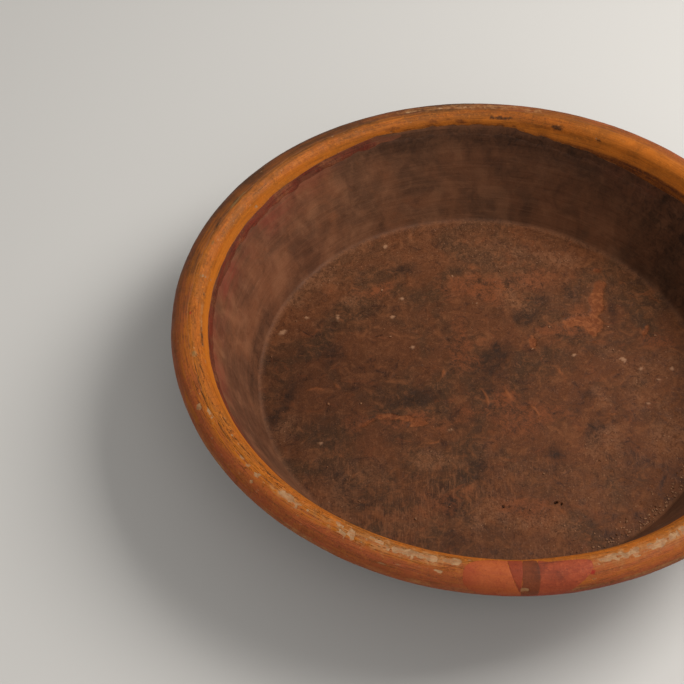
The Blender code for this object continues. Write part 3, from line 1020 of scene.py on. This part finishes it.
def inside_masks(theta, s):
    """Stains, dust and worn places on the floor and the wall, and painted light and shade."""
    p = line.place(theta, s, 0)
    x, y = p[:, 0] / MM, p[:, 1] / MM
    near = functools.partial(near_angle, theta)
    mark = functools.partial(floor_mark, points=p)
    near_floor = s < CORNER + 2 * MM
    floor = 1 - smooth(CORNER - 1 * MM, CORNER + 1 * MM, s)
    wall = between(s, CORNER + 2 * MM, LIP, 2 * MM)

    # A pale line along the corner between floor and wall, stronger at the rear, laid in with the dust.
    corner_pale_line = between(s, CORNER - 1.2 * MM, CORNER + 1.6 * MM, 0.8 * MM)
    corner_pale_line *= 0.45 + 0.55 * near(100, 90)
    corner_pale_line *= 0.75 + 0.4 * noise(p, 14 * MM, 110) + 0.5 * noise(p, 5 * MM, 118)
    dust = floor * mark("dust", low=-0.3, high=0.9)
    dust = np.maximum(dust, floor * smooth(10, 100, y) * (0.28 + 0.30 * noise(p, 24 * MM, 117)))
    dust = np.maximum(dust, floor * smooth(-20, -90, y) * (0.25 + 0.45 * noise(p, 16 * MM, 119)))
    grit = 0.9 * near(-48, 32) * between(s, CORNER - 13 * MM, CORNER + 2 * MM, 3 * MM)
    grit += 0.12 + 0.8 * dust

    low = CORNER + 11 * MM
    grime_and_shade = floor * 0.85 * mark("stain", low=-0.2, high=0.8)
    # On the wall this mask darkens a low band and the foot of the left wall and the top under the rear lip,
    # and paints shade with some soiling over the right wall and high at the right rear, which face away
    # from the lamp.
    grime_and_shade += wall * 0.6 * near(177, 24) * between(s, low - 3 * MM, low + 2 * MM, 3 * MM)
    grime_and_shade += wall * 0.75 * near(8, 62) * smooth(0.25, 0.85, 0.6 + 0.5 * fractal(p, 24 * MM, 113))
    grime_and_shade += wall * 0.3 * near(60, 40) * between(s, CORNER + 26 * MM, LIP, 10 * MM)
    grime_and_shade += wall * 0.55 * near(176, 36) * smooth(CORNER + 13 * MM, CORNER + 4 * MM, s)
    grime_and_shade += 0.7 * near(90, 48) * smooth(LIP - 15 * MM, LIP - 3 * MM, s) * (s < LIP + 3 * MM)

    red = wall * smooth(LIP - 24 * MM, LIP - 5 * MM, s) * (0.3 + 0.4 * fractal(p, 14 * MM, 114, 3))
    red *= np.maximum(near(168, 62), 0.5 * near(45, 30))
    red += 0.1 * wall * near(174, 62)
    grain = floor * (0.2 + 0.8 * smooth(-30, -85, y)) * smooth(-0.6, 0.5, noise(p, 26 * MM, 116))
    upper = smooth(CORNER + 4 * MM, LIP - 18 * MM, s)
    # Painted light and shade: the floor is lighter towards the back and the right rear and darker at the
    # left and in the middle, and the wall is lighter on the left, which faces the lamp, and darker at the
    # rear.
    painted_light = 0.12 * smooth(30, 95, y) - 0.42 * smooth(75, 15, np.hypot(x + 95, y + 10))
    painted_light += 0.14 * smooth(55, 10, np.hypot(x - 70, y - 62)) - 0.14 * smooth(40, 0, np.hypot(x + 5, y))
    painted_light *= floor
    painted_light += wall * (0.42 * near(155, 70) * (0.25 + 0.75 * upper) - 0.05)
    painted_light -= 0.18 * wall * near(82, 40) * (0.4 + 0.6 * upper)
    masks = {
        "wall": smooth(CORNER - 2 * MM, CORNER + 3 * MM, s),
        "dust": np.maximum(dust, corner_pale_line),
        "grime_and_shade": grime_and_shade,
        "red": red,
        "warm": floor * mark("warm", low=-0.4, high=0.7),
        "grain": grain,
        "grit": grit * near_floor,
        "scar": mark("scar", low=-0.1, high=0.25) * near_floor,
        "curl": np.maximum(0.3 * curls(p, 40), mark("curl", low=-0.1, high=0.5)) * floor,
        "speck": mark("speck", low=0.0, high=0.4) * near_floor,
        # Where the worm holes are, which the wood darkens as painted shade.
        "hole": mark("hole", low=-0.1, high=0.3) * near_floor,
    }
    return {**clipped(masks), "painted_light": painted_light}


def rim_masks(theta, s):
    """Rubbed, dirty and spotted places on the rim, and painted sheen, highlight and shade."""
    p = line.place(theta, s, 0)
    near = functools.partial(near_angle, theta)
    roll_at = line.at_roll
    start = ochre_start(theta)
    right_rear = near(36, 42)

    # Pale worn paint with a painted sheen along the crest, and a pale line along the roll's outer edge,
    # worn and painted as a highlight, stronger where the camera sees it.
    rub_and_sheen = 0.9 * smooth(-0.4, 0.7, blots(theta, s, RUBBED_AND_SHEEN_STRETCHES, 0.7, 120))
    edge_line = between(s, roll_at(13), roll_at(-8), 0.5 * MM)
    seen = np.maximum(near(-142, 56), near(-62, 30))
    rub_and_sheen = np.maximum(rub_and_sheen, edge_line * (0.25 + 0.75 * seen) * smooth(-0.6, 0.3, noise(p, 9 * MM, 121)))

    outer_half = smooth(roll_at(112), roll_at(88), s)
    grime_and_shade = 0.35 * near(75, 60) * smooth(0.2, 0.7, 0.55 + 0.5 * fractal(p, 10 * MM, 122))
    # Darker towards the roll's underside all round, and low on the roll's outer face at the front right.
    grime_and_shade += 0.45 * smooth(roll_at(-5), roll_at(-40), s)
    grime_and_shade += 0.8 * near(-66, 40) * smooth(roll_at(26), roll_at(4), s)
    # Painted shade with some soiling: the roll's outer half and outer face at the left rear, which face
    # away from the lamp, are darker.
    grime_and_shade += 0.45 * near(128, 52) * outer_half
    grime_and_shade += 0.75 * near(135, 65) * outer_half * smooth(0.05, 0.75, fractal(p, 8 * MM, 127) + 0.25)
    grime_and_shade += 0.35 * near(130, 66) * smooth(roll_at(70), roll_at(30), s)

    ochres = [
        between(s, OCHRE_END - 1 * MM, roll_at(64), 2 * MM) * (0.5 + 0.6 * noise(p, 26 * MM, 123)),
        near(-135, 45) * between(s, OCHRE_END - 1 * MM, roll_at(74), 1.2 * MM),
        0.8 * smooth(0.25, 0.7, round_noise(theta, s, 22, 3, 128, 1)),
        0.5 * near(-58, 26) * smooth(roll_at(20), roll_at(50), s),
    ]
    olive = between(s, roll_at(108), roll_at(15), 2 * MM) * near(122, 80)
    cracked = between(s, roll_at(130), roll_at(66), 1.5 * MM) * (0.2 + 0.8 * near(-135, 60))

    mottles = smooth(0.25, 0.75, round_noise(theta, s, 9, 2.4, 135, 3))
    # Painted shade with some soiling: the rim's inner face at the right rear, which faces away from the
    # lamp, and the ochre's inner edge at the rear are darkened.
    dark = 1.2 * right_rear * smooth(LIP + 1.4 * MM, LIP - 0.8 * MM, s)
    dark += near(86, 34) * smooth(start + 3 * MM, start, s) * (0.5 + 0.6 * noise(p, 8 * MM, 134))
    dark += 0.7 * near(88, 40) * mottles * (s < start + 4 * MM)
    # Painted highlight along the ochre's inner edge, weaker at the left rear, where the lamp's own
    # highlight falls.
    inner = between(s, start, start + 5.2 * MM, 1.2 * MM) * (1 - 0.45 * near(130, 50))
    masks = {
        "rub_and_sheen": rub_and_sheen,
        "grime_and_shade": grime_and_shade,
        "ochre": np.clip(np.maximum.reduce(ochres), 0, 1) * (s > OCHRE_END - 2 * MM),
        "olive": olive * (0.85 + 0.4 * noise(p, 20 * MM, 129)),
        "cracked": np.maximum(cracked, 0.3 * between(s, roll_at(66), roll_at(0), 2 * MM)),
        "shade": near(-78, 22) * smooth(roll_at(14), roll_at(-10), s),
        "dark": dark,
        "inner": inner * (s < OCHRE_END),
        # Painted highlight: the ochre at the right rear, which the lamp hardly lights, is made brighter.
        "bright": right_rear * between(s, LIP, OCHRE_END + 1 * MM, 1 * MM),
        "green": smooth(-0.1, 0.4, blots(theta, s, GREEN_SPOTS, 0.5, 124)),
        "reddot": smooth(-0.1, 0.2, blots(theta, s, RED_DOTS, 0.1, 125)),
        "mark": smooth(-0.1, 0.3, blots(theta, s, DARK_MARKS, 0.4, 126)),
    }
    return clipped(masks)


def plain_masks(theta, s):
    """The rim's masks with no marks of the rim's own, for paint elsewhere."""
    p = line.place(theta, s, 0)
    unmarked = "ochre olive cracked shade dark inner bright green reddot mark".split()
    masks = {name: np.zeros(len(theta)) for name in unmarked}
    masks["rub_and_sheen"] = 0.25 * smooth(0.2, 0.8, fractal(p, 12 * MM, 130))
    masks["grime_and_shade"] = 0.5 * smooth(-0.2, 0.7, fractal(p, 20 * MM, 131))
    return masks


def patch_masks(theta, s):
    """The painted patch is newer: only its own few marks."""
    roll_at = line.at_roll
    masks = plain_masks(theta, s)
    masks["rub_and_sheen"] = 0.5 * smooth(-0.2, 0.5, blots(theta, s, [PATCH_RUB], 1.1, 132))
    masks["grime_and_shade"] = 0.15 * smooth(roll_at(25), roll_at(-5), s)
    beside_bar = near_angle(theta, -85.0, 3.6) * between(s, roll_at(122), roll_at(50), 1.6 * MM)
    masks["grime_and_shade"] += 0.9 * beside_bar * smooth(-0.9, 0.3, noise(line.place(theta, s, 0), 4 * MM, 133))
    masks["shade"] = 0.6 * smooth(-95, -98.5, np.degrees(theta))
    masks["shade"] += 0.8 * smooth(roll_at(8), roll_at(-14), s)
    return masks


# Pieces ---------------------------------------------------

CRUMBS_AT_WALL = 130
CRUMBS_ELSEWHERE = 60
CRUMB_FLATNESS = 0.7
CRUMB_SEED = 7


def wood_body():
    """The turned blank, whole: the floor and wall are fine, and the rest, which coats cover, is coarser."""
    stretches = [
        (0, CORNER, FLOOR_STEP),
        (CORNER, LIP, WALL_STEP),
        (LIP, RUSSET_END, 1.8 * MM),
        (RUSSET_END, FOOT_TOP - 6 * MM, HIDDEN_STEP),
        (FOOT_TOP - 6 * MM, line.mark["recess"], 1.1 * MM),
        (line.mark["recess"], line.length, HIDDEN_STEP),
    ]
    theta, s, triangles = turned_grid(stretches)
    on_rim = between(s, ochre_start(theta) + 1 * MM, line.at_roll(-55), 0.6 * MM)
    bare = smooth(FOOT_TOP - 3 * MM, FOOT_TOP, s)
    depth = (WOOD_DEPTH - GROUND_DEPTH) + on_rim * GROUND_DEPTH
    height = relief(theta, s) - depth * (1 - bare)
    points = out_of_round(line.place(theta, s, height))
    mesh = new_mesh("turned_wood_body_look", points, triangles)
    masks = inside_masks(theta, s)
    masks["wall"] = np.where(s > LIP, smooth(FOOT_TOP + 20 * MM, FOOT_TOP, s), masks["wall"])
    add_attributes(mesh, theta, s, masks)
    return add_piece("wood", mesh, MATERIALS["wood"], "turned_wood", ["turned_wood_body"])


def round_coat(name, stretches, cover, depth, thickness, feather, masks, material, slot, node):
    """A coat that goes all round the bowl."""
    grid = turned_grid(stretches)
    values = cover(grid[0], grid[1])
    coat(name, grid, values, depth, thickness, feather, masks, MATERIALS[material], slot, [node])


def full_coats():
    """The coats that go all round: lining, band, ground, ochre, russet, outside and dark line."""
    skin = WOOD_DEPTH - GROUND_DEPTH
    paint = GROUND_DEPTH
    round_coat(
        "lining", [(0, CORNER, FLOOR_STEP), (CORNER, LIP + 1 * MM, WALL_STEP)], lining_cover,
        0, skin, 0.35, inside_masks, "lining", "inside_lacquer", "inside_lacquer",
    )
    round_coat(
        "band", [(LIP - 12 * MM, LIP + 6 * MM, 0.9 * MM)], maroon_cover,
        0, skin, 1.0, plain_masks, "maroon", "lip_maroon", "lip_maroon_band",
    )
    round_coat(
        "ground", [(LIP - 5 * MM, line.at_roll(-60), 1.3 * MM)], ground_cover,
        GROUND_DEPTH, skin, 0.3, plain_masks, "ground", "clay_ground", "rim_clay_ground",
    )
    round_coat(
        "ochre", [(LIP - 7 * MM, OCHRE_END + 3 * MM, RIM_STEP)], ochre_cover,
        0, paint, 0.4, rim_masks, "ochre", "ochre_paint", "rim_ochre_paint",
    )
    round_coat(
        "russet", [(OCHRE_END - 3 * MM, RUSSET_END + 1 * MM, RIM_STEP)], russet_cover,
        0, paint, 0.4, rim_masks, "russet", "russet_paint", "rim_russet_paint",
    )
    round_coat(
        "outside", [(RUSSET_END - 1 * MM, FOOT_TOP, 1.9 * MM)], outside_cover,
        0, skin, 0.3, plain_masks, "outside_maroon", "outside_maroon", "outside_maroon_paint",
    )
    round_coat(
        "dark_line", [(OCHRE_END - 2 * MM, OCHRE_END + 2.4 * MM, 0.55 * MM)], dark_line_cover,
        -LINE_STANDS, LINE_STANDS, 0.5, rim_masks, "dark_line", "dark_line_paint", "rim_dark_line",
    )


def rim_block(middle, half_width, from_roll, to_roll):
    """A block of points on the rim, round an angle and between two angles of the roll, in degrees."""
    theta, reach = math.radians(middle), math.radians(half_width)
    lengths = (line.at_roll(from_roll), line.at_roll(to_roll))
    return patch_grid((theta - reach, theta + reach), lengths, PATCH_STEP)


def patch_coat(name, grid, cover, feather, masks, material, slot, node):
    """A coat of touched-up paint, which stands over the paint round it."""
    coat(name, grid, cover, -PATCH_STANDS, PATCH_STANDS, feather, masks, MATERIALS[material], slot, [node])


def patch_coats():
    """The front patch's four colours and the brown patch at the rear."""
    grid = rim_block(PATCH_MIDDLE, 12, 140, -22)
    theta, s, _ = grid
    chipped = blots(theta, s, [PATCH_CHIP], 1.3, 80)
    outline = np.minimum(patch_outline(theta, s), -chipped)
    rows = [
        ("left_lobe", left_of_patch, stroke_start, "salmon", "reserve_red", "reserve_left_lobe"),
        ("dark_stroke", stroke_start, bar_start, "deep_red", "reserve_dark_red", "reserve_dark_stroke"),
        ("centre_bar", bar_start, lobe_start, "bar_brown", "reserve_brown", "reserve_centre_bar"),
        ("right_lobe", lobe_start, right_of_patch, "pink_red", "reserve_pink", "reserve_right_lobe"),
    ]
    for name, left, right, material, slot, node in rows:
        cover = np.minimum(outline, parted(theta, s, left, right, 101))
        patch_coat(name, grid, cover, 0.4, patch_masks, material, slot, node)
    grid = rim_block(93, 6, 90, 5)
    cover = blots(grid[0], grid[1], [REAR_PATCH], 0.35, 102)
    patch_coat("rear_patch", grid, cover, 0.3, rim_masks, "rear_brown", "rear_brown", "rear_brown_patch")


def crumb_places(draw):
    """Where the crumbs lie, in degrees and s: at the foot of the wall, then here and there on the floor."""
    for _ in range(CRUMBS_AT_WALL):
        yield draw.normal(-47, 11), CORNER - abs(draw.normal(0.6, 4.2)) * MM
    for _ in range(CRUMBS_ELSEWHERE):
        yield draw.uniform(-180, 180), FLOOR_RADIUS * math.sqrt(draw.uniform(0.02, 0.97))


def crumbs():
    """Small bits of old lacquer and dust, stuck down on the floor."""
    draw = np.random.default_rng(CRUMB_SEED)
    made = bmesh.new()
    for degrees, s in list(crumb_places(draw)):
        half = (0.2 + 0.6 * draw.uniform(0, 1) ** 1.6) * MM
        theta, length = np.array([math.radians(degrees)]), np.array([s])
        place = Vector(out_of_round(line.place(theta, length, relief(theta, length) + 0.25 * half))[0])
        sizes = (half * draw.uniform(0.8, 1.6), half * draw.uniform(0.7, 1.1), half * CRUMB_FLATNESS, 1)
        turned = Matrix.Rotation(draw.uniform(0, TAU), 4, "Z")
        shape = Matrix.Translation(place) @ turned @ Matrix.Diagonal(sizes)
        ball = bmesh.ops.create_icosphere(made, subdivisions=1, radius=1.0, matrix=shape)
        for vertex in ball["verts"]:
            vertex.co = place + (vertex.co - place) * draw.uniform(0.7, 1.2)
    mesh = bpy.data.meshes.new("crumbs")
    made.to_mesh(mesh)
    made.free()
    mesh.shade_flat()
    add_piece("crumbs", mesh, MATERIALS["crumb"], "inside_lacquer", ["inside_lacquer"])


wood_body()
full_coats()
patch_coats()
crumbs()


# The stage ------------------------------------------------

FLOOR_REACH = 30.0
FLOOR_COLOUR = (0.58, 0.57, 0.55, 1)
ROOM_COLOUR = (1, 0.98, 0.95, 1)
ROOM_BRIGHTNESS = 0.35
CAMERA_BEFORE_BOWL = -0.4864
CAMERA_LEFT_OF_BOWL = -0.0794
CAMERA_OVER_RIM = 0.5404
CAMERA_TILT = 40.42
CAMERA_LENS = 72.54


def floor():
    bpy.ops.mesh.primitive_plane_add(size=FLOOR_REACH, location=(0, 0, 0))
    plane = bpy.context.object
    plane.name = "floor"
    material = bpy.data.materials.new("pale_floor")
    material.use_nodes = True
    surface = material.node_tree.nodes["Principled BSDF"]
    surface.inputs["Base Color"].default_value = FLOOR_COLOUR
    surface.inputs["Roughness"].default_value = 0.9
    plane.data.materials.append(material)


def area_light(name, place, size, power, warmth):
    data = bpy.data.lights.new(name, "AREA")
    data.shape = "SQUARE"
    data.size = size
    data.energy = power
    data.color = warmth
    light = bpy.data.objects.new(name, data)
    bpy.context.scene.collection.objects.link(light)
    light.location = place
    light.rotation_euler = (Vector((0, 0, RIM_TOP)) - Vector(place)).to_track_quat("-Z", "Y").to_euler()


def lights():
    area_light("window", (0.8, 0.25, 1.0), 0.7, 17, (1.0, 0.97, 0.93))
    area_light("fill", (0.1, -1.3, 1.3), 1.4, 7, (1.0, 0.98, 0.96))
    world = bpy.data.worlds.new("room")
    world.use_nodes = True
    background = world.node_tree.nodes["Background"]
    background.inputs["Color"].default_value = ROOM_COLOUR
    background.inputs["Strength"].default_value = ROOM_BRIGHTNESS
    bpy.context.scene.world = world


def camera():
    data = bpy.data.cameras.new("camera")
    data.lens = CAMERA_LENS
    made = bpy.data.objects.new("camera", data)
    bpy.context.scene.collection.objects.link(made)
    made.location = (CAMERA_LEFT_OF_BOWL, CAMERA_BEFORE_BOWL, RIM_TOP + CAMERA_OVER_RIM)
    made.rotation_euler = (math.radians(CAMERA_TILT), 0, 0)
    bpy.context.scene.camera = made


floor()
lights()
camera()
bpy.context.scene.view_settings.view_transform = "Standard"
